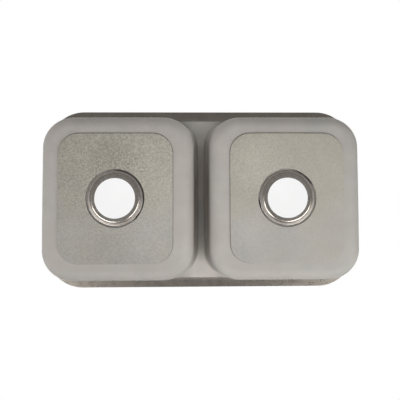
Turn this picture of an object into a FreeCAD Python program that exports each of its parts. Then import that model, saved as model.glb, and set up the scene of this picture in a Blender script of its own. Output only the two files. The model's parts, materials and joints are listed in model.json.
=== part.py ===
import FreeCAD
import Part
import math
import os
from FreeCAD import Vector

# Undermount double bowl kitchen sink, in millimetres.
# Frame: +Z is up, X runs along the sink, Y runs from front to back.
# The origin is the middle of the divider, on the flat face of the rim.

# ---- rim ----
rim_length = 819.15
rim_width = 469.9
rim_corner_radius = 95.0
sheet = 1.5                      # steel of the rim and of the bowls
deck_width = 34.3                # rim edge to the bowl's wall line, at the rim face
divider_width = 23.6             # wall line to wall line, at the rim face
opening_corner_radius = 60.7
throat_radius = 8.0              # rolled top edge of each opening, on the wet side
throat_depth = 14.0              # rim face to the weld
weld_height = 2.0
rim_edge_round = 0.4

# ---- bowls ----
sink_depth = 228.6               # rim face to the underside of the strainer seat
end_lean = 21.8                  # how far an end wall leans in, from the rim to the floor
side_lean = 20.5                 # the same for the front and back walls
divider_lean = 9.7               # the same for the wall beside the divider
floor_corner_radius = 68.0
floor_edge_radius = 25.0         # between the walls and the floor, on the wet side
floor_fall = 3.0                 # fall of the floor from its end walls to the drain

# ---- strainer recess and drain ----
drain_shift = 3.0                # drain axis, outward from the middle of the floor
drain_radius = 44.45
seat_width = 7.05                # flat seat round the hole
inner_step_run = 4.1
ledge_width = 3.7
outer_step_run = 1.2
land_width = 1.7                 # flat ring of the floor round the recess
outer_step = 2.6                 # drop of the outer step
inner_step = 4.6                 # drop of the inner step
outer_bend = 0.5                 # bend radii of the two steps, on the tight side
inner_bend = 2.8

# ---- undercoat ----
coat = 0.7
coat_lap = 0.9                   # flat strip of the deck, past the throat's bend, that is coated
coat_drain_gap = 0.3             # bare ring left round the recess

# ---- sound pads ----
pad_end_margin = 39.0            # floor's wall line to the pad, along X
pad_side_margin = 35.6           # floor's wall line to the pad, along Y
pad_corner_radius = 45.0
pad_thickness = 2.2
pad_cutout_gap = 2.2             # from the recess to the pad's round cut-out
adhesive = 0.7
adhesive_lap = 1.4               # adhesive squeezed out past the pad's edges
bond_gap = 0.1                   # clearance between coat and adhesive, and adhesive and pad

# ---- derived places ----
wall_near = divider_width / 2.0
wall_far = rim_length / 2.0 - deck_width
wall_side = rim_width / 2.0 - deck_width
floor_near = wall_near + divider_lean
floor_far = wall_far - end_lean
floor_side = wall_side - side_lean
floor_half = (floor_far - floor_near) / 2.0
drain_x = (floor_far + floor_near) / 2.0 + drain_shift
seat_radius = drain_radius + seat_width
ledge_inner_radius = seat_radius + inner_step_run
ledge_outer_radius = ledge_inner_radius + ledge_width
recess_radius = ledge_outer_radius + outer_step_run
recess_land = recess_radius + land_width
coat_hole_radius = recess_land + coat_drain_gap
pad_cutout_radius = recess_land + pad_cutout_gap
pad_half_length = floor_half - pad_end_margin
pad_half_width = floor_side - pad_side_margin
throat_bend = min(throat_radius, 0.45 * divider_width)
edge_round = min(rim_edge_round, 0.4 * sheet)
coat_reach = throat_bend + coat_lap               # from the wall line out to the masked line
coat_corner_radius = opening_corner_radius + coat_reach
dish_radius = (floor_half ** 2 + floor_fall ** 2) / (2.0 * floor_fall)
dish_sag = dish_radius - math.sqrt(dish_radius ** 2 - recess_land ** 2)
land_depth = sink_depth - sheet - outer_step - inner_step
floor_low = land_depth + dish_sag                 # depth of the floor's cap on the drain axis
loft_over = 10.0                 # how far the walls are drawn past the rim and the floor
flat_within = 0.0001             # an edge this level counts as flat


def wall_lines(height):
    """Wet wall lines of the right bowl at a height: near and far x, half width, corner radius."""
    share = -height / floor_low
    near = wall_near + share * divider_lean
    far = wall_far - share * end_lean
    side = wall_side - share * side_lean
    radius = opening_corner_radius + share * (floor_corner_radius - opening_corner_radius)
    return near, far, side, radius


def wall_growth(lean, offset):
    """Sideways move of a leaning wall line that shifts the wall by offset along its normal."""
    return offset * math.hypot(lean, floor_low) / floor_low


def rounded_outline(x_low, x_high, half_width, radius, height):
    """Closed wire of a rounded rectangle: four sides and four quarter circles."""
    k = math.sqrt(0.5) * radius
    corners = (
        (x_high - radius, half_width - radius, 1, 1),
        (x_low + radius, half_width - radius, -1, 1),
        (x_low + radius, -half_width + radius, -1, -1),
        (x_high - radius, -half_width + radius, 1, -1),
    )
    arcs = []
    for cx, cy, sx, sy in corners:
        ends = [Vector(cx + sx * radius, cy, height), Vector(cx, cy + sy * radius, height)]
        if sx * sy < 0:
            ends.reverse()
        middle = Vector(cx + sx * k, cy + sy * k, height)
        arcs.append((ends[0], middle, ends[1]))
    edges = []
    for index, (start, middle, end) in enumerate(arcs):
        following = arcs[(index + 1) % len(arcs)][0]
        edges.append(Part.Arc(start, middle, end).toShape())
        edges.append(Part.LineSegment(end, following).toShape())
    return Part.Wire(edges)


def rounded_block(x_low, x_high, half_width, radius, z_low, z_high):
    """Upright block with a rounded rectangular plan."""
    outline = rounded_outline(x_low, x_high, half_width, radius, z_low)
    return Part.Face(outline).extrude(Vector(0, 0, z_high - z_low))


def bowl_outline(height, offset):
    """Outline of the right bowl at a height, moved outward by offset."""
    near, far, side, radius = wall_lines(height)
    near -= wall_growth(divider_lean, offset)
    far += wall_growth(end_lean, offset)
    side += wall_growth(side_lean, offset)
    return rounded_outline(near, far, side, radius + offset, height)


def dish_ball(offset):
    """Ball whose lowest cap is the floor, moved outward by offset; it falls to the drain."""
    ball = Part.makeSphere(dish_radius + offset)
    ball.rotate(Vector(0, 0, 0), Vector(0, 1, 0), -90)
    ball.translate(Vector(drain_x, 0, dish_radius - floor_low))
    return ball


def floor_edges(solid):
    """Edges where the walls meet the dished floor."""
    return [edge for edge in solid.Edges if edge.BoundBox.ZMax < 4.0 * floor_fall - floor_low]


def bowl_form(offset):
    """Solid filling of the right bowl up to above the rim, moved outward by offset."""
    ends = [bowl_outline(loft_over, offset), bowl_outline(-floor_low - loft_over, offset)]
    walls = Part.makeLoft(ends, True, True)
    filled = walls.common(dish_ball(offset))
    return filled.makeFillet(floor_edge_radius + offset, floor_edges(filled))


def floor_height(radius, offset):
    """Height of the dished floor at a distance from the drain's axis, moved down by offset."""
    ball = dish_radius + offset
    return dish_radius - floor_low - math.sqrt(ball ** 2 - radius ** 2)


def unit(start, end):
    """Direction from one (radius, height) point to the next."""
    length = math.hypot(end[0] - start[0], end[1] - start[1])
    return (end[0] - start[0]) / length, (end[1] - start[1]) / length


def moved_corners(points, distance):
    """Corners of a path moved sideways, to the left of its direction, by distance."""
    moved = []
    for index, point in enumerate(points):
        before = unit(points[max(index - 1, 0)], points[max(index, 1)])
        last = len(points) - 1
        after = unit(points[min(index, last - 1)], points[min(index + 1, last)])
        tangent = math.hypot(before[0] + after[0], before[1] + after[1]) / 2.0
        normal_x = -(before[1] + after[1]) / 2.0
        normal_z = (before[0] + after[0]) / 2.0
        scale = distance / tangent ** 2
        moved.append((point[0] + normal_x * scale, point[1] + normal_z * scale))
    return moved


def rounded_path(points, radii):
    """Edges of a path of (radius, height) corners, each inner corner rounded to its radius."""
    here = [Vector(x, 0, z) for x, z in points]
    edges = []
    start = here[0]
    for index in range(1, len(here) - 1):
        back = (here[index - 1] - here[index]).normalize()
        ahead = (here[index + 1] - here[index]).normalize()
        half_turn = back.getAngle(ahead) / 2.0
        reach = radii[index - 1] / math.tan(half_turn)
        first = here[index] + back * reach
        second = here[index] + ahead * reach
        bisector = (back + ahead).normalize()
        centre = here[index] + bisector * (radii[index - 1] / math.sin(half_turn))
        edges.append(Part.LineSegment(start, first).toShape())
        edges.append(Part.Arc(first, centre - bisector * radii[index - 1], second).toShape())
        start = second
    edges.append(Part.LineSegment(start, here[-1]).toShape())
    return edges


def recess():
    """The pressed strainer recess: two steps and a flat seat round the drain hole."""
    land = floor_height(recess_land, 0.0)
    seat = land - outer_step - inner_step
    wet = [
        (recess_land, land),
        (recess_radius, land),
        (ledge_outer_radius, land - outer_step),
        (ledge_inner_radius, land - outer_step),
        (seat_radius, seat),
        (drain_radius, seat),
    ]
    under = moved_corners(wet, sheet)
    under[0] = (recess_land, floor_height(recess_land, sheet))
    tight = [outer_bend, outer_bend, inner_bend, inner_bend]
    wide = [bend + sheet for bend in tight]
    wet_radii = [wide[0], tight[1], wide[2], tight[3]]
    under_radii = [tight[0], wide[1], tight[2], wide[3]]
    edges = rounded_path(wet, wet_radii)
    edges += rounded_path(under, under_radii)
    for top, bottom in ((wet[0], under[0]), (wet[-1], under[-1])):
        edges += rounded_path([top, bottom], [])
    section = Part.Face(Part.Wire(Part.__sortEdges__(edges)))
    ring = section.revolve(Vector(0, 0, 0), Vector(0, 0, 1), 360)
    ring.translate(Vector(drain_x, 0, 0))
    return ring


def slab(z_low, z_high):
    """Wide slab used to keep one level of a form."""
    return Part.makeBox(rim_length, rim_width, z_high - z_low,
                        Vector(-rim_length / 2.0, -rim_width / 2.0, z_low))


def mirrored(shape):
    """The left hand copy of a right hand shape."""
    return shape.mirror(Vector(0, 0, 0), Vector(1, 0, 0))


def drain_column(radius):
    """Upright column on the drain's axis, taller than the sink."""
    return Part.makeCylinder(radius, 2.0 * sink_depth, Vector(drain_x, 0, -1.5 * sink_depth))


def bowl_shell():
    """Drawn sheet of the right bowl, up past the rim, without its recess."""
    return bowl_form(sheet).cut(bowl_form(0.0))


def right_bowl(shell):
    """The bowl below the weld, with its strainer recess and drain hole."""
    body = shell.common(slab(-sink_depth, -throat_depth - weld_height))
    body = body.cut(drain_column(recess_land))
    return body.fuse(recess()).removeSplitter()


def right_weld(shell):
    """The ground butt weld between the bowl and the throat."""
    return shell.common(slab(-throat_depth - weld_height, -throat_depth))


def flat_edges(solid, height, reach):
    """Edges lying flat at a height, no further than reach outside the bowls' wall lines."""
    found = []
    for edge in solid.Edges:
        box = edge.BoundBox
        level = abs(box.ZMin - height) < flat_within and abs(box.ZMax - height) < flat_within
        inside_x = max(-box.XMin, box.XMax) < wall_far + reach
        inside_y = max(-box.YMin, box.YMax) < wall_side + reach
        if level and inside_x and inside_y:
            found.append(edge)
    return found


def filled_underside(plate, offset):
    """A flat plate with two filled bowls under it, the corner between them rounded."""
    level = plate.BoundBox.ZMin
    form = bowl_form(offset).common(slab(-2.0 * sink_depth, plate.BoundBox.ZMax))
    joined = plate.fuse([form, mirrored(form)]).removeSplitter()
    return joined.makeFillet(throat_bend - offset, flat_edges(joined, level, throat_bend))


def rim_plate():
    """The flat deck before its openings are drawn, with its cut edge eased."""
    plate = rounded_block(-rim_length / 2.0, rim_length / 2.0, rim_width / 2.0,
                          rim_corner_radius, -sheet, 0.0)
    outer = [edge for edge in plate.Edges if edge.BoundBox.ZLength < flat_within]
    return plate.makeFillet(edge_round, outer)


def rim_flange(filled):
    """The deck with its two drawn throats, down to the welds."""
    body = filled.common(slab(-throat_depth, 0.0))
    opening = bowl_form(0.0)
    body = body.cut([opening, mirrored(opening)])
    return body.makeFillet(throat_bend, flat_edges(body, 0.0, sheet))


def undercoat(filled):
    """The sprayed coat over the bowls, the throats and the web between them."""
    x_edge = wall_far + coat_reach
    masked = rounded_block(-x_edge, x_edge, wall_side + coat_reach, coat_corner_radius,
                           -sheet - coat, -sheet)
    skin = filled_underside(masked, sheet + coat).cut(filled)
    column = drain_column(coat_hole_radius)
    return skin.cut([column, mirrored(column)])


def floor_layer(low, high, grow):
    """A layer on the underside of the right floor, in the pad's outline grown by grow."""
    half = pad_half_length + grow
    block = rounded_block(drain_x - half, drain_x + half, pad_half_width + grow,
                          pad_corner_radius + grow, -sink_depth, 2.0 * floor_fall - floor_low)
    block = block.cut(drain_column(pad_cutout_radius - grow))
    return block.common(dish_ball(high)).cut(dish_ball(low))


def main():
    os.makedirs("parts", exist_ok=True)
    shell = bowl_shell()
    filled = filled_underside(rim_plate(), sheet)
    glue_face = sheet + coat + bond_gap
    pad_face = glue_face + adhesive + bond_gap
    handed = {
        "bowl": right_bowl(shell),
        "bowl_weld": right_weld(shell),
        "pad_adhesive": floor_layer(glue_face, pad_face - bond_gap, adhesive_lap),
        "sound_pad": floor_layer(pad_face, pad_face + pad_thickness, 0.0),
    }
    nodes = {"rim_flange": rim_flange(filled), "undercoat": undercoat(filled)}
    for name, shape in handed.items():
        nodes["right_" + name] = shape
        nodes["left_" + name] = mirrored(shape)
    for name, shape in nodes.items():
        shape.exportStep("parts/" + name + ".step")
        print(name, shape.isValid(), len(shape.Solids), round(shape.Volume), "mm3")
    print("drain at x", round(drain_x, 3), "seat underside at", round(-sink_depth, 3))


if __name__ == "__main__":
    main()
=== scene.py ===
# %% [markdown]
# # A double bowl kitchen sink, seen from below
# The object is an undermount sink: a flat steel rim with two drawn bowls welded under it. Its
# outside is what the camera sees: a grey sprayed undercoat, a granular sound pad stuck on each
# bowl's floor with black butyl, and the bare pressed recess round each drain.
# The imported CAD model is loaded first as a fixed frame. The steel and the coat already have
# their right shapes there, so they stay and get finishes. The pads and the butyl have soft,
# uneven edges that CAD solids lack, so they are modelled here.

# %% Load the frame
import json
import math
import bmesh
import bpy
from mathutils import Matrix, Vector, noise


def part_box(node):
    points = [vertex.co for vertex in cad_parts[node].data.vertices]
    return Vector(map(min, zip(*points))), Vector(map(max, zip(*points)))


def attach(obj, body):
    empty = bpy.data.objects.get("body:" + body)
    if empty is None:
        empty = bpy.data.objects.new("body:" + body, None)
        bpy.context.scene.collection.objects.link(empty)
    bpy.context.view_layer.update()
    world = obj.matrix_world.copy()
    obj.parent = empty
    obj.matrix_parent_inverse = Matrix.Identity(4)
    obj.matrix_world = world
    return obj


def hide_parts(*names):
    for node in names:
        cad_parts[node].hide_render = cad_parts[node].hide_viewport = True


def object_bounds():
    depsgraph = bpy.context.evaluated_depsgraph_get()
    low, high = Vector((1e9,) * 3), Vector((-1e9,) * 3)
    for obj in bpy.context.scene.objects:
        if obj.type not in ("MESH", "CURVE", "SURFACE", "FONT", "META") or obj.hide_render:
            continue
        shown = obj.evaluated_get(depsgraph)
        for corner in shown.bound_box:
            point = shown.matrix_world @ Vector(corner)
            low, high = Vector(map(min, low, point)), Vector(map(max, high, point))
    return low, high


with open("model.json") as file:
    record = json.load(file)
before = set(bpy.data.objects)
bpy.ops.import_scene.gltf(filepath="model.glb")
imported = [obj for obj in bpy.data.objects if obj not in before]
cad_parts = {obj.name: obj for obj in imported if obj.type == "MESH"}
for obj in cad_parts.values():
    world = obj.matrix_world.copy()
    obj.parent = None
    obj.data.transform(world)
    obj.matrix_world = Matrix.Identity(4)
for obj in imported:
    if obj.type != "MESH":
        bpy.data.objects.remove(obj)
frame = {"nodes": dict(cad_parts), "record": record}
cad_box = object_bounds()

nodes = frame["nodes"]
print("nodes:", ", ".join(sorted(nodes)))

# %% [markdown]
# The camera comes next, because everything after it is judged through it. It hangs 1.2 metres
# under the rim and looks up, because the photograph shows the underside. Its frame is built from
# three small turns, so each one can be changed alone. The shift moves the picture without turning
# the camera, which keeps the bowls square to the view.

# %% Camera
PHOTO_SIZE = 400.0           # pixels each way
SENSOR_WIDTH = 36.0          # millimetres
camera_place = Vector((-0.00732, 0.00939, -1.2338))
pitch, yaw, roll = -0.0435, 0.0221, -0.0026
focal_pixels = 456.53
middle_pixel = (208.29, 182.41)


def turned(angle, first, second):
    """Rows of a turn that mixes two of the three axes."""
    rows = [[float(i == j) for j in range(3)] for i in range(3)]
    rows[first][first] = rows[second][second] = math.cos(angle)
    rows[first][second], rows[second][first] = -math.sin(angle), math.sin(angle)
    return Matrix(rows)


right, down, ahead = turned(roll, 0, 1) @ turned(yaw, 0, 2) @ turned(pitch, 1, 2)
lens = bpy.data.cameras.new("camera")
camera = bpy.data.objects.new("camera", lens)
bpy.context.scene.collection.objects.link(camera)
aim = Matrix((right, -down, -ahead)).transposed().to_4x4()
camera.matrix_world = Matrix.Translation(camera_place) @ aim
lens.sensor_width = SENSOR_WIDTH
lens.lens = focal_pixels / PHOTO_SIZE * SENSOR_WIDTH
lens.shift_x = 0.5 - middle_pixel[0] / PHOTO_SIZE
lens.shift_y = middle_pixel[1] / PHOTO_SIZE - 0.5
bpy.context.scene.camera = camera
print("camera lens", round(lens.lens, 2), "mm")

# %% [markdown]
# Sizes that the new pieces need are read from the CAD nodes and from the record's mounts, so a
# piece always sits where its solid sits. Each bowl's floor is pressed to a very large ball, so
# that water runs to the drain. `sag` says how much higher that ball is at a distance from the
# drain's axis.

# %% Sizes read from the frame
mounts = {m["name"]: m for m in frame["record"]["mounts"]}
drain_x = mounts["right_drain"]["pos_m"][0]
pad_low, pad_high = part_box("right_sound_pad")
coat_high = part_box("undercoat")[1]
BALL = 4.593                 # radius that the bowl floors are pressed to
CUT_OUT = 0.0644             # radius of the round hole in a pad
PAD_CORNER = 0.045           # radius of a pad's corners
PAD_THICK = 0.0022
pad_half = ((pad_high.x - pad_low.x) / 2, (pad_high.y - pad_low.y) / 2)


def sag(distance):
    return BALL - math.sqrt(BALL ** 2 - distance ** 2)


pad_cap = pad_low.z - sag(CUT_OUT)
print("drain axis at", drain_x, "pad half size", [round(v, 4) for v in pad_half])

# %% [markdown]
# A sound pad is a die-cut sheet of rubber granules with a rounded outline and a round hole. A
# boolean could cut it, but that leaves long thin faces. Here the outline is a plane whose corners
# are bevelled, the hole is the same ring of points pulled onto a circle, and the faces between
# them run evenly from one to the other. That makes it easy to press the edges down later.
# First the small helpers for a ring of edges.

# %% Rings of edges


def start_plane(name, middle, half):
    """A plane with its place in its mesh, alone selected, in edit mode."""
    bpy.ops.object.select_all(action="DESELECT")
    bpy.ops.mesh.primitive_plane_add(size=2.0, location=(middle, 0.0, 0.0))
    piece = bpy.context.object
    piece.name = piece.data.name = name
    piece.scale = (half[0], half[1], 1.0)
    bpy.ops.object.transform_apply(location=True, rotation=True, scale=True)
    bpy.ops.object.mode_set(mode="EDIT")
    return piece


def choose_edges(piece, wanted):
    """Selects the edges for which wanted(first place, second place) is true."""
    bpy.ops.mesh.select_mode(type="EDGE")
    bpy.ops.mesh.select_all(action="DESELECT")
    shape = bmesh.from_edit_mesh(piece.data)
    for edge in shape.edges:
        if wanted(edge.verts[0].co, edge.verts[1].co):
            edge.select_set(True)
    shape.select_flush_mode()
    bmesh.update_edit_mesh(piece.data)


def outline_ring(name, middle, half, corner, corner_cuts, x_cuts, y_cuts):
    """A ring of edges on a rounded rectangle, with even points along its sides."""
    piece = start_plane(name, middle, half)
    bpy.ops.mesh.select_all(action="SELECT")
    bpy.ops.mesh.bevel(offset=corner, segments=corner_cuts, affect="VERTICES", profile=0.5)
    bpy.ops.mesh.select_all(action="SELECT")
    bpy.ops.mesh.delete(type="ONLY_FACE")
    long_x = lambda a, b: abs(a.x - b.x) > half[0]
    long_y = lambda a, b: abs(a.y - b.y) > half[1]
    for wanted, cuts in ((long_x, x_cuts), (long_y, y_cuts)):
        choose_edges(piece, wanted)
        bpy.ops.mesh.subdivide(number_cuts=cuts)
    return piece


print("outline helpers ready")

# %% [markdown]
# A ring of edges becomes a surface when it is extruded: each pull adds one band of faces.
# `pull_ring` does one pull, and is told where each point goes. `straight_in` gives an even border
# along the outline, and `toward_drain` lets the outline turn into a circle on the way in.

# %% Pulling a ring


def from_drain(place):
    return math.hypot(place.x - drain_x, place.y)


def pull_ring(piece, place_at):
    """Extrudes the selected ring of edges, and sets each new point where place_at says."""
    bpy.ops.mesh.extrude_region_move()
    shape = bmesh.from_edit_mesh(piece.data)
    for v in shape.verts:
        if v.select:
            v.co = place_at(v.co)
    bmesh.update_edit_mesh(piece.data)


def straight_in(distance, half, corner):
    """A move that takes a point on a rounded rectangle in by a distance, square to its side."""
    def place_at(place):
        qx = max(abs(place.x - drain_x) - (half[0] - corner), 0.0)
        qy = max(abs(place.y) - (half[1] - corner), 0.0)
        length = math.hypot(qx, qy)
        move_x = math.copysign(1.0, place.x - drain_x) * distance * qx / length
        move_y = math.copysign(1.0, place.y) * distance * qy / length
        return Vector((place.x - move_x, place.y - move_y, 0.0))
    return place_at


def toward_drain(radius_at, share):
    """A move that takes a point a share of the way to a ring round the drain."""
    def place_at(place):
        angle = math.atan2(place.y, place.x - drain_x)
        here = from_drain(place)
        radius = here + (radius_at(angle) - here) * share
        return Vector((drain_x + radius * math.cos(angle), radius * math.sin(angle), 0.0))
    return place_at


def pull_in_steps(piece, radius_at, steps):
    """Pulls the selected ring to a ring round the drain in a number of even steps."""
    for step in range(steps):
        pull_ring(piece, toward_drain(radius_at, 1.0 / (steps - step)))


print("pull helpers ready")

# %% [markdown]
# Next come the helpers that turn a flat sheet of faces into a soft layer. `laid_on_ball` gives
# every point its height on the bowl's floor. `thickened` faces the sheet downwards, gives it a
# thickness towards the bowl, and keeps the first points as the side that shows, so that only
# that side is pressed or swollen afterwards.

# %% Sheets on the bowl's floor


def laid_on_ball(piece, cap):
    """Sets every point on the ball whose lowest place is at height cap."""
    for v in piece.data.vertices:
        v.co.z = cap + sag(from_drain(v.co))


def apply_modifier(piece, kind, **settings):
    """Adds one modifier with its settings and applies it."""
    bpy.context.view_layer.objects.active = piece
    modifier = piece.modifiers.new(kind.title(), kind)
    for key, value in settings.items():
        setattr(modifier, key, value)
    bpy.ops.object.modifier_apply(modifier=modifier.name)


def thickened(piece, thickness, upwards=False):
    """Gives a sheet its thickness; returns how many points the side that it faces has."""
    bpy.ops.object.mode_set(mode="EDIT")
    bpy.ops.mesh.select_all(action="SELECT")
    bpy.ops.mesh.remove_doubles(threshold=0.00001)
    bpy.ops.mesh.normals_make_consistent(inside=False)
    shape = bmesh.from_edit_mesh(piece.data)
    rise = sum(face.normal.z * face.calc_area() for face in shape.faces)
    if (rise > 0.0) != upwards:
        bpy.ops.mesh.flip_normals()
    bpy.ops.object.mode_set(mode="OBJECT")
    shown = len(piece.data.vertices)
    apply_modifier(piece, "SOLIDIFY", thickness=thickness, offset=-1.0, use_even_offset=True)
    return shown


print("sheet helpers ready")

# %% [markdown]
# A layer's cut edge is rounded last, with a bevel on its sharp edges. The sink is handed, so what
# is modelled on the right is copied and mirrored for the left. A mirror turns the faces inside
# out, so their direction is set again after it. `inside_outline` tells how far a place lies from
# the outline, which the pressed edges need.

# %% Soft edges and the other hand


def inside_outline(place, half, corner):
    """How far inside a rounded rectangle round the drain a place lies."""
    qx = abs(place.x - drain_x) - (half[0] - corner)
    qy = abs(place.y) - (half[1] - corner)
    return corner - math.hypot(max(qx, 0.0), max(qy, 0.0)) - min(max(qx, qy), 0.0)


def alone(piece):
    """Selects one piece alone and makes it the active one."""
    bpy.ops.object.select_all(action="DESELECT")
    piece.select_set(True)
    bpy.context.view_layer.objects.active = piece


def smoothed(piece, degrees):
    """Shades a piece smooth, apart from edges that turn by more than an angle."""
    alone(piece)
    bpy.ops.object.shade_smooth_by_angle(angle=math.radians(degrees))


def finished(piece, edge_width, segments):
    """Rounds the sharp edges of a layer and shades it smooth."""
    apply_modifier(piece, "BEVEL", width=edge_width, segments=segments, limit_method="ANGLE",
                   angle_limit=math.radians(50.0), use_clamp_overlap=True)
    smoothed(piece, 40.0)


def other_hand(piece, name):
    """Turns a piece into its mirror image, with its faces still pointing outwards."""
    piece.name = piece.data.name = name
    alone(piece)
    piece.scale.x = -1.0
    bpy.ops.object.transform_apply(location=False, rotation=False, scale=True)
    bpy.ops.object.mode_set(mode="EDIT")
    bpy.ops.mesh.select_all(action="SELECT")
    bpy.ops.mesh.normals_make_consistent(inside=False)
    bpy.ops.object.mode_set(mode="OBJECT")
    return piece


def mirror_copy(piece, name):
    """The other hand of a piece, with its own mesh."""
    copy = piece.copy()
    copy.data = piece.data.copy()
    bpy.context.scene.collection.objects.link(copy)
    return other_hand(copy, name)


print("layer helpers ready")

# %% [markdown]
# A bowl is drawn from one flat sheet, so its walls lean a little, the corners widen on the way
# down, and a large round joins them to the floor. The floor falls to the drain, where a second
# press makes a stepped recess for the strainer. The CAD bowl is right, but its triangles break up
# the bright rounds of the recess, so the bowl is modelled again with even rings of faces.
# First its outline at each height, which widens at the corners on the way down.

# %% Outlines of a bowl
RIM_LINE = (0.0118, 0.375275, 0.20065, 0.0607)       # near x, far x, half width, corner radius
FLOOR_LINE = (0.0215, 0.353475, 0.18015, 0.0680)     # the same where the walls meet the floor
SHEET = 0.0015                                       # thickness of the steel
LAND = 0.0622                                        # radius where the recess begins
FIRST_STEP, SECOND_STEP = 0.0026, 0.0046             # depths of the recess's two steps
bowl_low, bowl_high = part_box("right_bowl")
WELD_DEPTH = -bowl_high.z
land_height = bowl_low.z + SHEET + SECOND_STEP + FIRST_STEP
floor_cap = land_height - sag(LAND)


def line_at(height):
    """The outline of the wet wall at a height."""
    share = height / floor_cap
    return [a + (b - a) * share for a, b in zip(RIM_LINE, FLOOR_LINE)]


def core(line):
    """Middle, and half sizes of the rectangle that the corners' centres make."""
    return (line[0] + line[1]) / 2, (line[1] - line[0]) / 2 - line[3], line[2] - line[3]


def outward(place, line):
    """Direction straight out of an outline at one of its points."""
    middle, core_x, core_y = core(line)
    qx, qy = abs(place.x - middle) - core_x, abs(place.y) - core_y
    away = Vector((max(qx, 0.0), max(qy, 0.0), 0.0)).normalized()
    return Vector((math.copysign(away.x, place.x - middle), math.copysign(away.y, place.y), 0.0))


def same_spot(place, old, new, height):
    """The point of a new outline that matches a point of an old one."""
    out = outward(place, old)
    (old_middle, old_x, old_y), (new_middle, new_x, new_y) = core(old), core(new)
    x = min(max((place.x - old_middle) / old_x, -1.0), 1.0) * new_x
    y = min(max(place.y / old_y, -1.0), 1.0) * new_y
    return Vector((new_middle + x + out.x * new[3], y + out.y * new[3], height))


def floor_height(place):
    return floor_cap + sag(from_drain(place))


print("bowl's floor begins at", round(floor_cap, 5))

# %% [markdown]
# Every point of the bowl's top ring gets a track: its places down the wall, round the bend, over
# the floor and down the recess. Each extrusion then moves the whole ring one place on. The bend
# touches both the leaning wall and the falling floor, so its turn is worked out from both slopes.

# %% Wall and bend
WALL_RINGS, BEND_RINGS, FLOOR_RINGS = 12, 12, 9
FLOOR_BEND = 0.025                                   # radius of the bend


def wall_and_bend(place, start_line):
    """Places of one point from the weld down to the end of the bend on the floor."""
    out = outward(place, start_line)
    top = same_spot(place, start_line, RIM_LINE, 0.0)
    foot = same_spot(place, start_line, FLOOR_LINE, floor_cap)
    wall = (top - foot) / (top.z - foot.z)
    foot = foot + wall * (floor_height(foot) - foot.z)
    lean = math.atan(wall.dot(out))
    fall = math.atan(((foot.x - drain_x) * out.x + foot.y * out.y) / BALL)
    turn = (math.pi / 2 - lean - fall) / 2
    reach = FLOOR_BEND * math.tan(turn)
    centre_in = FLOOR_BEND * math.cos(lean) - reach * math.sin(lean)
    centre_up = FLOOR_BEND * math.sin(lean) + reach * math.cos(lean)
    end = foot.z + reach * math.cos(lean)
    places = []
    for step in range(WALL_RINGS):
        height = place.z + (end - place.z) * step / WALL_RINGS
        places.append(foot + wall * (height - foot.z))
    sideways = wall - out * wall.dot(out)
    for step in range(BEND_RINGS + 1):
        angle = lean + 2 * turn * step / BEND_RINGS
        inward = centre_in - FLOOR_BEND * math.cos(angle)
        up = centre_up - FLOOR_BEND * math.sin(angle)
        shift = Vector((sideways.x, sideways.y, 0.0)) * max(up, 0.0)
        places.append(Vector((foot.x, foot.y, foot.z + up)) - out * inward + shift)
    return places


print("rings down to the floor:", WALL_RINGS + BEND_RINGS + 1)

# %% [markdown]
# The strainer's recess is a profile turned round the drain: a land, a step down to a narrow band,
# and a second step down to the seat round the hole. It is given as corners of (radius, height),
# and each inner corner is rounded to the radius of the press tool there.

# %% Profile of the recess


def rounded_profile(corners, bends, steps):
    """Points of a profile of (radius, height) corners, each inner one rounded to its bend."""
    points = [Vector(corners[0])]
    for index, bend in enumerate(bends, start=1):
        corner = Vector(corners[index])
        back = (Vector(corners[index - 1]) - corner).normalized()
        on = (Vector(corners[index + 1]) - corner).normalized()
        half_turn = back.angle(on) / 2
        middle = corner + (back + on).normalized() * (bend / math.sin(half_turn))
        first = corner + back * (bend / math.tan(half_turn)) - middle
        last = corner + on * (bend / math.tan(half_turn)) - middle
        sweep = first.angle(last)
        for step in range(steps + 1):
            here = sweep * step / steps
            spoke = first * math.sin(sweep - here) + last * math.sin(here)
            points.append(middle + spoke / math.sin(sweep))
    points.append(Vector(corners[-1]))
    return points


DRAIN_RADIUS = 0.04445
band_height = land_height - FIRST_STEP
seat_height = land_height - (FIRST_STEP + SECOND_STEP)
recess_corners = (
    (LAND, land_height), (0.0605, land_height),
    (0.0593, band_height), (0.0556, band_height),
    (0.0515, seat_height), (DRAIN_RADIUS, seat_height),
)
recess_bends = (0.0020, 0.0005, 0.0043, 0.0028)
recess_line = rounded_profile(recess_corners, recess_bends, steps=6)
print("land of the recess at", round(land_height, 5), "with", len(recess_line), "rings below it")

# %% [markdown]
# Now the bowl itself: the wet side is pulled ring by ring along the tracks, the sheet's thickness
# is put on its outside, and the left bowl is the mirror image of the right one.

# %% Bowls


def bowl_track(place, start_line):
    """All places of one point, from the weld to the edge of the drain hole."""
    places = wall_and_bend(place, start_line)
    edge = places[-1].copy()
    angle = math.atan2(edge.y, edge.x - drain_x)
    spoke = Vector((math.cos(angle), math.sin(angle), 0.0))
    start = from_drain(edge)
    for step in range(1, FLOOR_RINGS + 1):
        radius = start + (LAND - start) * step / FLOOR_RINGS
        on_floor = Vector((drain_x, 0.0, 0.0)) + spoke * radius
        places.append(Vector((on_floor.x, on_floor.y, floor_height(on_floor))))
    for radius, height in recess_line[1:]:
        places.append(Vector((drain_x, 0.0, height)) + spoke * radius)
    return places


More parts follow.
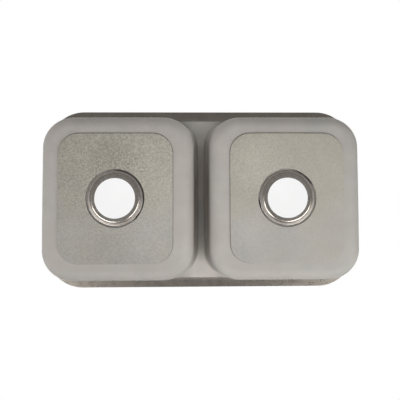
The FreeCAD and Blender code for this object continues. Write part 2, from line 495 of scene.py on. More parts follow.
start_line = line_at(-WELD_DEPTH)
middle, core_x, core_y = core(start_line)
start_half = (core_x + start_line[3], core_y + start_line[3])
bowl = outline_ring("right_basin", middle, start_half, start_line[3],
                    corner_cuts=18, x_cuts=26, y_cuts=30)
shape = bmesh.from_edit_mesh(bowl.data)
tracks = []
for v in shape.verts:
    v.co.z = -WELD_DEPTH
    tracks.append(bowl_track(v.co.copy(), start_line))
    tracks[-1][0] = v.co.copy()
bmesh.update_edit_mesh(bowl.data)
bpy.ops.mesh.select_all(action="SELECT")
for ring in range(1, len(tracks[0])):
    onward = {tuple(track[ring - 1]): track[ring] for track in tracks}
    pull_ring(bowl, lambda place: onward[tuple(place)])
bpy.ops.object.mode_set(mode="OBJECT")
thickened(bowl, SHEET, upwards=True)
smoothed(bowl, 45.0)
bowls = {"right": bowl, "left": mirror_copy(bowl, "left_basin")}
print("bowls:", len(bowl.data.polygons), "faces each")

# %% [markdown]
# The pad itself. It was rolled down hard, so its outer edge thins by half a millimetre over
# 7 mm, and the edge of its hole by a little less. The rings are closest together there, where
# that slope needs them. Slow waves of a tenth of a millimetre are what is left of its roll.
# The right pad is modelled, and the left one is a copy of it turned into its mirror image.

# %% Sound pads
PRESSED = 0.0005             # how much a pad's outer edge is pressed thinner
PRESSED_REACH = 0.007        # how far in from the edge that reaches
HOLE_SHARE = 0.6             # how much of that the edge of the hole is pressed
WAVE_HEIGHT = 0.0001
WAVES = 14.0                 # waves in a metre
BORDER_STEPS = (0.0010, 0.0020, 0.0020, 0.0020)      # bands from the outline inwards
HOLE_RINGS = (0.0045, 0.0025, 0.0010, 0.0)           # distances of rings from the hole


def pad_press(place):
    """How far the pad's face is pushed back towards the bowl at a place."""
    edge = max(1.0 - inside_outline(place, pad_half, PAD_CORNER) / PRESSED_REACH, 0.0)
    hole = max(1.0 - (from_drain(place) - CUT_OUT) / PRESSED_REACH, 0.0)
    wave = noise.noise(Vector((place.x, place.y, 0.0)) * WAVES)
    return PRESSED * (edge ** 2 + HOLE_SHARE * hole ** 2) + WAVE_HEIGHT * wave


pad = outline_ring("right_pad", drain_x, pad_half, PAD_CORNER,
                   corner_cuts=14, x_cuts=19, y_cuts=23)
bpy.ops.mesh.select_all(action="SELECT")
for step in BORDER_STEPS:
    pull_ring(pad, straight_in(step, pad_half, PAD_CORNER))
pull_in_steps(pad, lambda angle: CUT_OUT + PRESSED_REACH, 12)
for ring in HOLE_RINGS:
    pull_in_steps(pad, lambda angle: CUT_OUT + ring, 1)
bpy.ops.object.mode_set(mode="OBJECT")
laid_on_ball(pad, pad_cap)
shown = thickened(pad, PAD_THICK)
for v in list(pad.data.vertices)[:shown]:
    v.co.z += pad_press(v.co)
finished(pad, edge_width=0.0007, segments=3)
pads = {"left": mirror_copy(pad, "left_pad"), "right": pad}
print("pads:", len(pad.data.polygons), "faces each")

# %% [markdown]
# Black butyl holds each pad. Pressing the pad down squeezed some of it out, mostly round the
# drain hole, where it shows as an uneven black line with a few thick places. So its sheet is
# made as the pad's was, but both of its edges wander. `lumps` lists the thick places round a
# drain: the angle, how wide in degrees, and how thick. Each bowl has its own list, and its own
# even line between them.

# %% How the butyl came out
GLUE_HOLE = 0.0630           # radius of the adhesive's hole in the CAD solid
GLUE_THICK = 0.0007
glue_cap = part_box("right_pad_adhesive")[0].z - sag(GLUE_HOLE)
even_line = {"left": 0.36, "right": 0.26}
lumps = {
    "right": ((-40.0, 11.0, 1.0), (-64.0, 12.0, 0.6), (168.0, 8.0, 1.0), (146.0, 10.0, 0.4)),
    "left": ((228.0, 24.0, 0.9), (195.0, 30.0, 1.0), (142.0, 7.0, 0.8), (250.0, 20.0, 0.6)),
}


def wander(angle, finesse, seed):
    """Smooth noise that closes on itself round a ring, from about -1 to 1."""
    spot = Vector((math.cos(angle), math.sin(angle), 0.0)) * finesse
    return noise.noise(spot + Vector((0.0, 0.0, seed)))


def squeezed(angle, side):
    """How much butyl came out at an angle round a drain, from 0 to about 1."""
    total = even_line[side] + 0.16 * wander(angle, 5.0, 3.0) + 0.10 * wander(angle, 14.0, 8.0)
    for middle, width, amount in lumps[side]:
        gap = (math.degrees(angle) - middle + 180.0) % 360.0 - 180.0
        total += amount * math.exp(-(gap / width) ** 2)
    return min(max(total, 0.0), 1.2)


def lap_and_edge_shade(place):
    """How far butyl shows past a pad's edge; widened at the back and by the divider as painted
    shade.
    """
    along, across = (place.x - drain_x) / pad_half[0], place.y / pad_half[1]
    # Painted shade: the lap is widest along the edges towards the back and the divider.
    shown = max(0.0, -across, -0.8 * along, 0.35 * along) ** 3
    uneven = 0.0002 * wander(math.atan2(place.y, place.x - drain_x), 18.0, 1.0)
    return max(0.00005, 0.0001 + 0.0010 * shown + uneven)


print("thick places:", len(lumps["left"]), "left,", len(lumps["right"]), "right")

# %% [markdown]
# Each sheet is modelled over the right bowl. Its outline is moved out by the lap, its hole is
# pulled in to where the butyl stopped, and the strip that shows between is swollen into a bead.
# The left sheet is then mirrored to its own bowl.

# %% Squeezed butyl
BEAD_START = 0.0646          # radius that the butyl's edge is measured from
BEAD_REACH = 0.0032          # how far in a lump of 1 comes
BEAD_SWELL = 0.0010          # how far a bead stands out where `swell` is 1


def butyl(side):
    """One sheet of butyl, on the right hand bowl, with the thick places of its side."""
    inner = lambda angle: min(BEAD_START - BEAD_REACH * squeezed(angle, side), CUT_OUT - 0.0003)
    sheet = outline_ring(side + "_butyl", drain_x, pad_half, PAD_CORNER,
                         corner_cuts=24, x_cuts=35, y_cuts=43)
    shape = bmesh.from_edit_mesh(sheet.data)
    for v in shape.verts:
        v.co = straight_in(-lap_and_edge_shade(v.co), pad_half, PAD_CORNER)(v.co)
    bmesh.update_edit_mesh(sheet.data)
    bpy.ops.mesh.select_all(action="SELECT")
    pull_ring(sheet, straight_in(0.0020, pad_half, PAD_CORNER))
    pull_in_steps(sheet, lambda angle: CUT_OUT + 0.002, 8)
    pull_in_steps(sheet, lambda angle: CUT_OUT, 1)
    pull_in_steps(sheet, inner, 3)
    bpy.ops.object.mode_set(mode="OBJECT")
    laid_on_ball(sheet, glue_cap)
    shown = thickened(sheet, GLUE_THICK)
    for v in list(sheet.data.vertices)[:shown]:
        angle = math.atan2(v.co.y, v.co.x - drain_x)
        rim = inner(angle)
        across = (from_drain(v.co) - rim) / (CUT_OUT - rim)
        if across < 1.0:
            swell = math.sin(math.pi * max(across, 0.12)) * (0.4 + squeezed(angle, side))
            v.co.z -= BEAD_SWELL * swell
    finished(sheet, edge_width=0.00025, segments=2)
    return sheet


butyls = {"right": butyl("right"), "left": butyl("left")}
other_hand(butyls["left"], "left_butyl")
print("butyl:", len(butyls["right"].data.polygons), "faces each")

# %% [markdown]
# The frame has to know the new pieces. `attach` ties a piece to the body that carries it, which is
# the root for all of them because nothing on a sink moves, and `hide_parts` hides the CAD node that
# the piece stands in for.

# %% Fixing the new pieces to the frame
for side in ("left", "right"):
    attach(pads[side], "root")
    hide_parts(side + "_sound_pad")
    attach(butyls[side], "root")
    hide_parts(side + "_pad_adhesive")
    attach(bowls[side], "root")
    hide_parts(side + "_bowl")
print("pieces fixed")

# %% [markdown]
# Now the finishes. None of them is a single colour: sprayed paint, rubber granules and brushed
# steel all vary from place to place, and are made from shader nodes. A few helpers keep that
# short: `add` puts in one node, and the others name what a maker does with it.

# %% Node helpers


def add(tree, kind, inputs=(), **settings):
    """Adds a shader node; an input that is a socket is linked, and any other is set."""
    made = tree.nodes.new("ShaderNode" + kind)
    for key, value in settings.items():
        setattr(made, key, value)
    for key, value in dict(inputs).items():
        if isinstance(value, bpy.types.NodeSocket):
            tree.links.new(value, made.inputs[key])
        else:
            made.inputs[key].default_value = value
    return made


def sums(tree, operation, first, *others):
    """A Math node on values or sockets, one more for each further value; returns the result."""
    for other in others or (0.0,):
        first = add(tree, "Math", {0: first, 1: other}, operation=operation).outputs[0]
    return first


def ranged(tree, value, low, high, to_low, to_high):
    """Maps a value from one range to another, without leaving the second."""
    made = add(tree, "MapRange", {0: value, 1: low, 2: high, 3: to_low, 4: to_high})
    return made.outputs[0]


def mixed(tree, share, first, second):
    """Mixes two values or sockets."""
    return add(tree, "Mix", {0: share, 2: first, 3: second}, data_type="FLOAT").outputs[0]


def blend(tree, share, first, second):
    """Mixes two colours or sockets of colour."""
    made = add(tree, "Mix", {0: share, 6: first, 7: second}, data_type="RGBA")
    return made.outputs[2]


def shaded(tree, colour, shade):
    """A colour times a shade."""
    grey = add(tree, "CombineColor", {0: shade, 1: shade, 2: shade}).outputs[0]
    made = add(tree, "Mix", {0: 1.0, 6: colour, 7: grey}, data_type="RGBA", blend_type="MULTIPLY")
    return made.outputs[2]


def rgb(red, green, blue):
    return (red, green, blue, 1.0)


print("node helpers ready")

# %% [markdown]
# Effects that several finishes share are node groups that give a shade, a height or a line
# pattern. Every pattern reads Object coordinates in metres, so its size is its real size on the
# sink, and a length is turned into a scale inside the group.

# %% Group helpers


def new_group(name, inputs, output):
    """An empty node group with a vector input, named float inputs and one float output."""
    group = bpy.data.node_groups.new(name, "ShaderNodeTree")
    group.interface.new_socket("Place", in_out="INPUT", socket_type="NodeSocketVector")
    for label, value in inputs:
        socket = group.interface.new_socket(label, in_out="INPUT", socket_type="NodeSocketFloat")
        socket.default_value = value
    group.interface.new_socket(output, in_out="OUTPUT", socket_type="NodeSocketFloat")
    entry = group.nodes.new("NodeGroupInput")
    leave = group.nodes.new("NodeGroupOutput")
    return group, entry.outputs, leave.inputs


def use(tree, group, **inputs):
    """Places a node group with its values; returns its output."""
    return add(tree, "Group", inputs, node_tree=group).outputs[0]


def scaled(tree, place, scale):
    """A place times a scale, so that a pattern gets its size in metres."""
    made = add(tree, "VectorMath", {0: place, "Scale": scale}, operation="SCALE")
    return made.outputs[0]


def parts(tree, place):
    """The x, y and z of a place or a direction."""
    return add(tree, "SeparateXYZ", {0: place}).outputs


def one_over(tree, length):
    return sums(tree, "DIVIDE", 1.0, length)


def from_drain_axis(tree, split):
    """Distance of a place, split into x, y and z, from the axis of the drain on its side."""
    along = sums(tree, "SUBTRACT", sums(tree, "ABSOLUTE", split[0]), drain_x)
    square = sums(tree, "ADD", sums(tree, "MULTIPLY", along, along),
                  sums(tree, "MULTIPLY", split[1], split[1]))
    return sums(tree, "SQRT", square)


print("group helpers ready")

# %% [markdown]
# Three effects do most of the work: `mottle` for slow or fast changes of shade, `grit` for the
# height of a rough skin, and `brushed` for fine lines along one direction.

# %% Shared effects
mottle, entry, leave = new_group("mottle", (("Size", 0.01), ("Dark", 0.9), ("Light", 1.1)), "Shade")
spot = scaled(mottle, entry["Place"], one_over(mottle, entry["Size"]))
cloud = add(mottle, "TexNoise", {"Vector": spot, "Scale": 1.0, "Detail": 3.0}).outputs[0]
shade = ranged(mottle, cloud, 0.3, 0.7, entry["Dark"], entry["Light"])
mottle.links.new(shade, leave["Shade"])

grit, entry, leave = new_group("grit", (("Size", 0.002),), "Height")
spot = scaled(grit, entry["Place"], one_over(grit, entry["Size"]))
coarse = add(grit, "TexNoise", {"Vector": spot, "Scale": 1.0, "Detail": 2.0}).outputs[0]
fine = add(grit, "TexNoise", {"Vector": spot, "Scale": 3.7, "Detail": 1.0}).outputs[0]
height = sums(grit, "ADD", sums(grit, "MULTIPLY", coarse, 0.7), sums(grit, "MULTIPLY", fine, 0.3))
grit.links.new(height, leave["Height"])

brushed, entry, leave = new_group("brushed", (("Length", 0.08), ("Width", 0.0004)), "Line")
along, across = one_over(brushed, entry["Length"]), one_over(brushed, entry["Width"])
stretch = add(brushed, "CombineXYZ", {0: along, 1: across, 2: across}).outputs[0]
spot = add(brushed, "VectorMath", {0: entry["Place"], 1: stretch}, operation="MULTIPLY").outputs[0]
lines = add(brushed, "TexNoise",
            {"Vector": spot, "Scale": 1.0, "Detail": 2.0, "Roughness": 0.6}).outputs[0]
brushed.links.new(lines, leave["Line"])
print("shared effects:", mottle.name, grit.name, brushed.name)

# %% [markdown]
# Every finish starts the same way: one Principled shader, whose plain values sit on its own
# sockets, and a place to read patterns from. What varies over the surface is linked afterwards.

# %% Starting a finish


def start_material(name, metallic):
    """A material with a Principled shader; returns it, its nodes and the place on the piece."""
    material = bpy.data.materials.new(name)
    material.use_nodes = True
    tree = material.node_tree
    shader = tree.nodes["Principled BSDF"]
    shader.inputs["Metallic"].default_value = metallic
    return material, tree, shader, add(tree, "TexCoord").outputs["Object"]


def connect(tree, shader, colour, roughness, height, depth):
    """Links colour, roughness and a bump of a depth in metres to a shader."""
    tree.links.new(colour, shader.inputs["Base Color"])
    tree.links.new(roughness, shader.inputs["Roughness"])
    bump = add(tree, "Bump", {"Strength": 1.0, "Distance": depth, "Height": height}).outputs[0]
    tree.links.new(bump, shader.inputs["Normal"])


print("finish helpers ready")

# %% [markdown]
# The undercoat is a thick water-based paint, sprayed on by hand to stop condensation and to
# deaden the steel. It dries to a flat warm grey with an orange-peel skin, and where passes of the
# gun overlap the grey shifts a little from cool to warm. Slow mottling gives the passes, a fast
# one gives the speckle, and a shallow bump gives the skin. On the web between the bowls the grey
# carries painted light at the open ends, painted shade in the narrow middle, and painted light in
# the two long corners where the walls meet the web. `web` is the mask for that strip, and the
# values for the ends, the corners and the middle say how much lighter or darker it is painted. The
# grey also carries painted light beside the divider and at the left end, and painted shade on the
# front wall and the bend at the back. Those give slow changes of shade of up to a tenth.

# %% Sprayed undercoat
coat_finish, tree, shader, spot = start_material("sprayed_undercoat", metallic=0.0)
split = parts(tree, spot)
passes = use(tree, mottle, Place=spot, Size=0.14, Dark=0.0, Light=1.0)
greys = blend(tree, passes, rgb(0.440, 0.431, 0.402), rgb(0.474, 0.434, 0.401))
slow = use(tree, mottle, Place=spot, Size=0.045, Dark=0.95, Light=1.05)
from_middle = sums(tree, "ABSOLUTE", split[0])
# Painted light beside the divider and at the left end, painted shade on the front wall and on the
# bend at the back.
divider_painted_light = ranged(tree, from_middle, 0.03, 0.09, 1.07, 1.0)
left_end_painted_light = ranged(tree, split[0], -0.37, -0.31, 1.07, 1.0)
front_shade_level = ranged(tree, split[0], -0.1, 0.1, 0.90, 0.965)
front_painted_shade = ranged(tree, split[1], 0.12, 0.20, 1.0, front_shade_level)
back_shade_amount = sums(tree, "MULTIPLY", ranged(tree, split[1], -0.14, -0.18, 0.0, 0.08),
               ranged(tree, split[2], -0.185, -0.20, 0.0, 1.0))
back_painted_shade = sums(tree, "SUBTRACT", 1.0, back_shade_amount)
slow = sums(tree, "MULTIPLY", slow, divider_painted_light, left_end_painted_light, front_painted_shade, back_painted_shade)
speckle = use(tree, mottle, Place=spot, Size=0.0022, Dark=0.96, Light=1.04)
# Painted light and shade on the web: lighter at the open ends and in the two long corners, darker
# in the narrow middle.
in_gap = ranged(tree, from_middle, 0.05, 0.02, 0.0, 1.0)
narrow = ranged(tree, sums(tree, "ABSOLUTE", split[1]), 0.09, 0.14, 1.0, 0.0)
web = sums(tree, "MULTIPLY", ranged(tree, split[2], -0.05, -0.012, 0.0, 1.0), in_gap)
ends_painted_light = sums(tree, "ADD", ranged(tree, split[1], -0.13, -0.20, 0.0, 0.29),
            ranged(tree, split[1], 0.13, 0.17, 0.0, 0.40))
middle_painted_shade = ranged(tree, narrow, 0.0, 1.0, 0.13, 0.27)
corners = sums(tree, "MULTIPLY", ranged(tree, from_middle, 0.0085, 0.0110, 0.0, 0.57),
               ranged(tree, split[2], -0.13, -0.05, 0.0, 1.0))
corners = sums(tree, "MULTIPLY", corners, sums(tree, "MULTIPLY", in_gap, narrow))
on_web = sums(tree, "MULTIPLY", web, sums(tree, "SUBTRACT", ends_painted_light, middle_painted_shade))
web_painted_light_and_shade = sums(tree, "ADD", 1.0, on_web, corners)
shade = sums(tree, "MULTIPLY", slow, speckle, web_painted_light_and_shade)
colour = shaded(tree, greys, shade)
rough = use(tree, mottle, Place=spot, Size=0.012, Dark=0.62, Light=0.78)
skin = use(tree, grit, Place=spot, Size=0.0024)
connect(tree, shader, colour, rough, skin, depth=0.00012)
shader.inputs["Specular IOR Level"].default_value = 0.35
print("finish:", coat_finish.name)

# %% [markdown]
# The pads are rubber and mineral granules pressed to a sheet, a greenish grey that is yellower
# than the paint. Each granule is one cell of a Voronoi texture with its own shade, and clumps of
# granules give a slower mottling on top. Each sheet was worked hardest round the drain and on
# the half towards the back, so the clumps show most there and fade towards the outline, and the
# left sheet shows them more than the right one. A slow tint makes the sheets cooler towards the
# front edge. Painted shade darkens both a little there and at the left end, and painted light
# lifts them towards the right. Soft patches are lighter or darker, each with a middle, a radius
# and a change of shade.

# %% Granular sound pad
GRANULE = 0.0017             # size of one granule
soft_patches = (
    (-0.200, -0.085, 0.060, -0.12), (-0.106, -0.028, 0.075, 0.08),
    (-0.187, 0.145, 0.080, -0.07), (-0.290, 0.090, 0.055, 0.06),
    (0.135, -0.078, 0.075, 0.13), (0.105, 0.060, 0.060, 0.05),
)
pad_finish, tree, shader, spot = start_material("granular_pad", metallic=0.0)
shader.inputs["Specular IOR Level"].default_value = 0.25
split = parts(tree, spot)
worked = sums(tree, "MULTIPLY", ranged(tree, split[0], -0.10, 0.22, 0.98, 0.38),
              ranged(tree, split[1], -0.10, 0.03, 1.0, 0.45),
              ranged(tree, from_drain_axis(tree, split), CUT_OUT, 0.11, 1.05, 0.60))
enlarged = scaled(tree, spot, 1.0 / GRANULE)
cell = add(tree, "TexVoronoi", {"Vector": enlarged, "Scale": 1.0}, feature="F1")
grain = add(tree, "SeparateColor", {0: cell.outputs["Color"]}).outputs[0]
grain = ranged(tree, grain, 0.0, 1.0, -0.13, 0.13)
clump = use(tree, mottle, Place=spot, Size=0.0041, Dark=-0.44, Light=0.26)
grain = sums(tree, "ADD", 1.0, sums(tree, "MULTIPLY", sums(tree, "ADD", grain, clump), worked))
slow = use(tree, mottle, Place=spot, Size=0.05, Dark=0.96, Light=1.04)
tint = use(tree, mottle, Place=spot, Size=0.09, Dark=0.0, Light=1.0)
tint = sums(tree, "ADD", tint, ranged(tree, split[1], 0.0, 0.08, -0.38, 0.48))
olive = blend(tree, tint, rgb(0.425, 0.399, 0.340), rgb(0.416, 0.399, 0.373))
# Painted shade: darker at the left end and towards the front edge, lighter towards the right.
slow = sums(tree, "MULTIPLY", slow, ranged(tree, split[0], -0.30, -0.12, 0.95, 1.09),
            ranged(tree, split[1], 0.05, 0.14, 1.0, 0.955))
for x, y, radius, change in soft_patches:
    off_x, off_y = sums(tree, "SUBTRACT", split[0], x), sums(tree, "SUBTRACT", split[1], y)
    square = sums(tree, "ADD", sums(tree, "MULTIPLY", off_x, off_x),
                  sums(tree, "MULTIPLY", off_y, off_y))
    patch = ranged(tree, square, 0.0, radius ** 2, 1.0 + change, 1.0)
    slow = sums(tree, "MULTIPLY", slow, patch)
colour = shaded(tree, olive, sums(tree, "MULTIPLY", grain, slow))
rough = use(tree, mottle, Place=spot, Size=0.003, Dark=0.72, Light=0.92)
height = sums(tree, "ADD", use(tree, grit, Place=spot, Size=0.0035),
              sums(tree, "MULTIPLY", cell.outputs["Distance"], -0.35))
connect(tree, shader, colour, rough, height, depth=0.0003)
print("finish:", pad_finish.name)

# %% [markdown]
# Butyl is a soft black mastic with a dull shine. Where it came out it is wrinkled and picks up
# dust, so its black is lifted in patches and its roughness varies.

# %% Black butyl
butyl_finish, tree, shader, spot = start_material("black_butyl", metallic=0.0)
dust = use(tree, mottle, Place=spot, Size=0.004, Dark=0.0, Light=1.0)
colour = blend(tree, dust, rgb(0.014, 0.013, 0.012), rgb(0.055, 0.050, 0.044))
rough = use(tree, mottle, Place=spot, Size=0.003, Dark=0.38, Light=0.7)
wrinkles = use(tree, grit, Place=spot, Size=0.0018)
connect(tree, shader, colour, rough, wrinkles, depth=0.0004)
print("finish:", butyl_finish.name)

# %% [markdown]
# All steel here is the same stainless sheet in different states. The rim's face and the inside of
# the bowls are satin brushed, and on the rim the fine lines run along its length. The rim's
# underside is bare mill finish: duller, browner, with handling marks, and with a mist of undercoat
# along the masked line. The mask for each state comes from the surface's direction and place.

# %% Rim steel
MIST_REACH = 0.009           # how far past the masked line the spray drifted
rim_finish, tree, shader, spot = start_material("satin_and_mill_rim", metallic=1.0)
split = parts(tree, spot)
facing = parts(tree, add(tree, "TexCoord").outputs["Normal"])
below = ranged(tree, facing[2], -0.1, -0.4, 0.0, 1.0)
satin = use(tree, brushed, Place=spot, Length=0.09, Width=0.0005)
face = shaded(tree, rgb(0.60, 0.585, 0.56), ranged(tree, satin, 0.3, 0.7, 0.93, 1.06))
patches = use(tree, mottle, Place=spot, Size=0.03, Dark=0.93, Light=1.06)
rolled = use(tree, brushed, Place=spot, Length=0.05, Width=0.0012)
mill_shade = sums(tree, "MULTIPLY", patches, ranged(tree, rolled, 0.3, 0.7, 0.93, 1.07))
mill = shaded(tree, rgb(0.46, 0.414, 0.362), mill_shade)
depth_y = sums(tree, "ABSOLUTE", split[1])
mist = ranged(tree, depth_y, coat_high.y, coat_high.y + MIST_REACH, 0.22, 0.0)
speck = use(tree, mottle, Place=spot, Size=0.0013, Dark=0.8, Light=1.15)
mist = sums(tree, "MULTIPLY", mist, speck, below)
under = blend(tree, mist, mill, rgb(0.41, 0.39, 0.36))
colour = blend(tree, below, face, under)
rough_face = ranged(tree, satin, 0.3, 0.7, 0.26, 0.36)
rough_mill = use(tree, mottle, Place=spot, Size=0.015, Dark=0.26, Light=0.30)
rough = mixed(tree, below, rough_face, rough_mill)
rough = sums(tree, "ADD", rough, sums(tree, "MULTIPLY", mist, 0.3))
bare = sums(tree, "SUBTRACT", 1.0, sums(tree, "MULTIPLY", mist, 0.9))
tree.links.new(bare, shader.inputs["Metallic"])
height = sums(tree, "MULTIPLY", satin, ranged(tree, below, 0.0, 1.0, 1.0, 0.25))
connect(tree, shader, colour, rough, height, depth=0.00002)
print("finish:", rim_finish.name)

# %% [markdown]
# Inside a bowl the brush ran round the walls and along the floor, so lines along X and lines along
# Y are mixed by which way the wall faces. The strainer recess is pressed after brushing: the steel
# is stretched there, shows brighter rounds, and has fine rings from the die instead of lines.
# The bend between its two steps is darkened as painted shade, most on the side towards the front
# edge, and the flat band outside the bend is a little duller than the round inside it.

# %% Bowl steel
GROOVE = 0.0552              # radius of the bend between the two steps


def bowl_steel(name, face_colour, line_width, ground):
    """Brushed steel for a bowl or its ground weld; returns the material."""
    material, tree, shader, spot = start_material(name, metallic=1.0)
    split = parts(tree, spot)
    facing = parts(tree, add(tree, "TexCoord").outputs["Normal"])
    turned_place = add(tree, "CombineXYZ", {0: split[1], 1: split[0], 2: split[2]}).outputs[0]
    along_x = use(tree, brushed, Place=spot, Length=0.08, Width=line_width)
    along_y = use(tree, brushed, Place=turned_place, Length=0.08, Width=line_width)
    end_wall = ranged(tree, sums(tree, "ABSOLUTE", facing[0]), 0.55, 0.85, 0.0, 1.0)
    lines = mixed(tree, end_wall, along_x, along_y)
    reach = from_drain_axis(tree, split)
    pressed = ranged(tree, reach, 0.0605, 0.0625, 1.0, 0.0)
    rings = add(tree, "TexNoise", {"Vector": add(tree, "CombineXYZ", {0: reach}).outputs[0],
                                   "Scale": 1500.0, "Detail": 2.0}).outputs[0]
    pattern = mixed(tree, pressed, lines, rings)
    slow = use(tree, mottle, Place=spot, Size=0.05, Dark=0.95, Light=1.05)
    line_shade = ranged(tree, pattern, 0.3, 0.7, 1.0 - ground, 1.0 + ground)
    shade = sums(tree, "MULTIPLY", line_shade, slow)
    stain_and_groove_shade = use(tree, mottle, Place=spot, Size=0.007, Dark=0.86, Light=1.08)
    # Painted shade in the bend between the steps, darkest towards the front edge; the mottle before
    # it is stains.
    off_groove = sums(tree, "ABSOLUTE", sums(tree, "SUBTRACT", reach, GROOVE))
    groove_shade_level = ranged(tree, split[1], -0.025, 0.030, 0.80, 0.42)
    stain_and_groove_shade = sums(tree, "MULTIPLY", stain_and_groove_shade, ranged(tree, off_groove, 0.0008, 0.0018, groove_shade_level, 1.0))
    shade = mixed(tree, pressed, shade, sums(tree, "MULTIPLY", shade, stain_and_groove_shade))
    colour = shaded(tree, blend(tree, pressed, face_colour, rgb(0.69, 0.634, 0.577)), shade)
    rough_face = ranged(tree, pattern, 0.3, 0.7, 0.27, 0.38)
    rough_ring = ranged(tree, pattern, 0.3, 0.7, 0.22, 0.28)
    rough_ring = sums(tree, "ADD", rough_ring, ranged(tree, reach, 0.0530, 0.0550, 0.0, 0.19))
    rough = mixed(tree, pressed, rough_face, rough_ring)
    height = sums(tree, "MULTIPLY", pattern, ranged(tree, pressed, 0.0, 1.0, 1.0, 0.1))
    connect(tree, shader, colour, rough, height, depth=0.000015)
    return material


bowl_finish = bowl_steel("satin_bowl", rgb(0.60, 0.59, 0.57), line_width=0.0005, ground=0.06)
weld_finish = bowl_steel("ground_weld", rgb(0.58, 0.565, 0.535), line_width=0.0009, ground=0.12)
print("finishes:", bowl_finish.name, weld_finish.name)

# %% [markdown]
# Each finish goes to the new pieces and to the CAD nodes. The nodes that a new piece stands in
# for get theirs too, though they don't show here.

# %% Giving the finishes out
given = {"undercoat": coat_finish, "rim_flange": rim_finish}
for side in ("left", "right"):
    given[side + "_bowl"] = bowl_finish
    given[side + "_bowl_weld"] = weld_finish
    given[side + "_sound_pad"] = pad_finish
    given[side + "_pad_adhesive"] = butyl_finish
    pads[side].data.materials.append(pad_finish)
    butyls[side].data.materials.append(butyl_finish)
    bowls[side].data.materials.append(bowl_finish)
for name, finish in given.items():
    for slot in nodes[name].material_slots:
        slot.material = finish
print("finishes given to", len(given) + 6, "objects")

# %% [markdown]
# The stage. The sink stands on a pale floor, which shows only from above: from below it is clear,
# because the camera of the photograph looks up through it, and it takes no part in lighting the
# sink. A pale card lies over the rim, where a table would lie under an upturned sink, and shows
# only from below, through the drain holes.

# %% Floor and card


def one_sided(name, colour, glow):
    """A pale surface that shows from its front and is clear from behind."""
    material = bpy.data.materials.new(name)
    material.use_nodes = True
    tree = material.node_tree
    tree.nodes.clear()
    matt = add(tree, "BsdfDiffuse", {0: colour}).outputs[0]
    light = add(tree, "Emission", {0: rgb(1.0, 1.0, 1.0), 1: 1.0}).outputs[0]
    front = add(tree, "MixShader", {0: glow, 1: matt, 2: light}).outputs[0]
    clear = add(tree, "BsdfTransparent").outputs[0]
    behind = add(tree, "NewGeometry").outputs["Backfacing"]
    both = add(tree, "MixShader", {0: behind, 1: front, 2: clear}).outputs[0]
    tree.links.new(both, add(tree, "OutputMaterial").inputs[0])
    return material


def stage_plane(name, size_x, size_y, height, facing_down, material):
    """A plane of the stage that only the camera sees."""
    bpy.ops.object.select_all(action="DESELECT")
    bpy.ops.mesh.primitive_plane_add(size=1.0, location=(0.0, 0.0, height))
    plane = bpy.context.object
    plane.name = name
    plane.scale = (size_x, size_y, 1.0)
    if facing_down:
        plane.rotation_euler.x = math.pi
    plane.data.materials.append(material)
    plane.visible_diffuse = plane.visible_glossy = plane.visible_shadow = False
    return plane


pale_floor = one_sided("pale_floor", rgb(0.86, 0.86, 0.86), glow=0.35)
floor = stage_plane("floor", 12.0, 12.0, cad_box[0].z, False, pale_floor)
pale_card = one_sided("pale_card", rgb(0.9, 0.9, 0.9), glow=0.86)
card = stage_plane("card", 0.70, 0.36, 0.0006, True, pale_card)
print("stage:", floor.name, card.name)

# %% [markdown]
# The light. Two soft boxes stand below, one to each side, both on the side that is the bottom of
# the picture. Only steel shows them: they make the two bright crescents on each drain recess.
# Weak fill lamps on all sides do the work of a photographer's white cards, and steel doesn't
# show those, so it keeps its dark tones. One large box over the rim lights the inside of the bowls
# for views from above.

# %% Lamps
UNDER_FLOORS, MIDDLE = (0.0, 0.0, -0.2), (0.0, 0.0, -0.15)     # what the lamps look at


def soft_box(name, place, size, power, target):
    """An area lamp that looks at a target."""
    lamp = bpy.data.lights.new(name, "AREA")
    lamp.shape = "RECTANGLE"
    lamp.size, lamp.size_y = size
    lamp.energy = power
    box = bpy.data.objects.new(name, lamp)
    box.location = place
    box.rotation_euler = (Vector(target) - Vector(place)).to_track_quat("-Z", "Y").to_euler()
    bpy.context.scene.collection.objects.link(box)
    return box


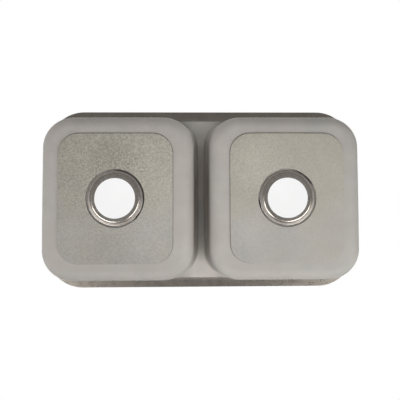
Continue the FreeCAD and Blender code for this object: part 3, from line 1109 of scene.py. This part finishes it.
for name, side in (("left_box", -1.0), ("right_box", 1.0)):
    box = soft_box(name, (0.82 * side, 0.75, -0.85), (1.2, 0.6), 10.0, UNDER_FLOORS)
    box.visible_diffuse = False
fills = (
    ("side_fill", (0.80, 0.77, -0.85), (1.1, 0.6), 5.3, UNDER_FLOORS),
    ("left_fill", (-1.9, 0.3, -0.4), (0.6, 1.4), 9.8, MIDDLE),
    ("right_fill", (1.9, 0.0, -0.5), (0.6, 1.4), 0.8, MIDDLE),
    ("front_fill", (0.0, 1.6, -1.5), (1.2, 0.7), 4.1, MIDDLE),
    ("back_fill", (0.0, -1.9, 0.2), (1.8, 0.5), 5.2, MIDDLE),
    ("camera_fill", (0.0, 0.2, -1.7), (0.6, 0.6), 8.9, MIDDLE),
)
for fill in fills:
    soft_box(*fill).visible_glossy = False
soft_box("top_box", (0.5, -0.9, 1.7), (1.8, 1.8), 12.0, (0.0, 0.0, 0.0))

# %% [markdown]
# The room behind the camera is dim, so bare steel that faces down looks dark, while the backdrop
# around and above is white. The world tells these apart by direction, and by the kind of ray:
# the camera sees plain white, steel sees the room and the backdrop, and everything else gets a
# soft light that is stronger from above.

# %% World
world = bpy.data.worlds.new("studio")
bpy.context.scene.world = world
world.use_nodes = True
tree = world.node_tree
sky = tree.nodes["Background"]
sky.inputs["Color"].default_value = rgb(1.0, 1.0, 1.0)
direction = parts(tree, add(tree, "TexCoord").outputs["Generated"])
backdrop = ranged(tree, direction[2], -0.05, 0.3, 0.0, 1.0)
room = ranged(tree, direction[1], -0.5, 0.5, 0.212, 0.240)
seen_in_steel = mixed(tree, backdrop, room, 1.0)
soft_light = ranged(tree, backdrop, 0.0, 1.0, 0.26, 0.55)
rays = add(tree, "LightPath").outputs
level = mixed(tree, rays["Is Glossy Ray"], soft_light, seen_in_steel)
plain = sums(tree, "MAXIMUM", rays["Is Camera Ray"], rays["Is Transmission Ray"])
level = mixed(tree, plain, level, 1.0)
tree.links.new(level, sky.inputs["Strength"])
bpy.context.scene.view_settings.view_transform = "Standard"
print("world:", world.name)
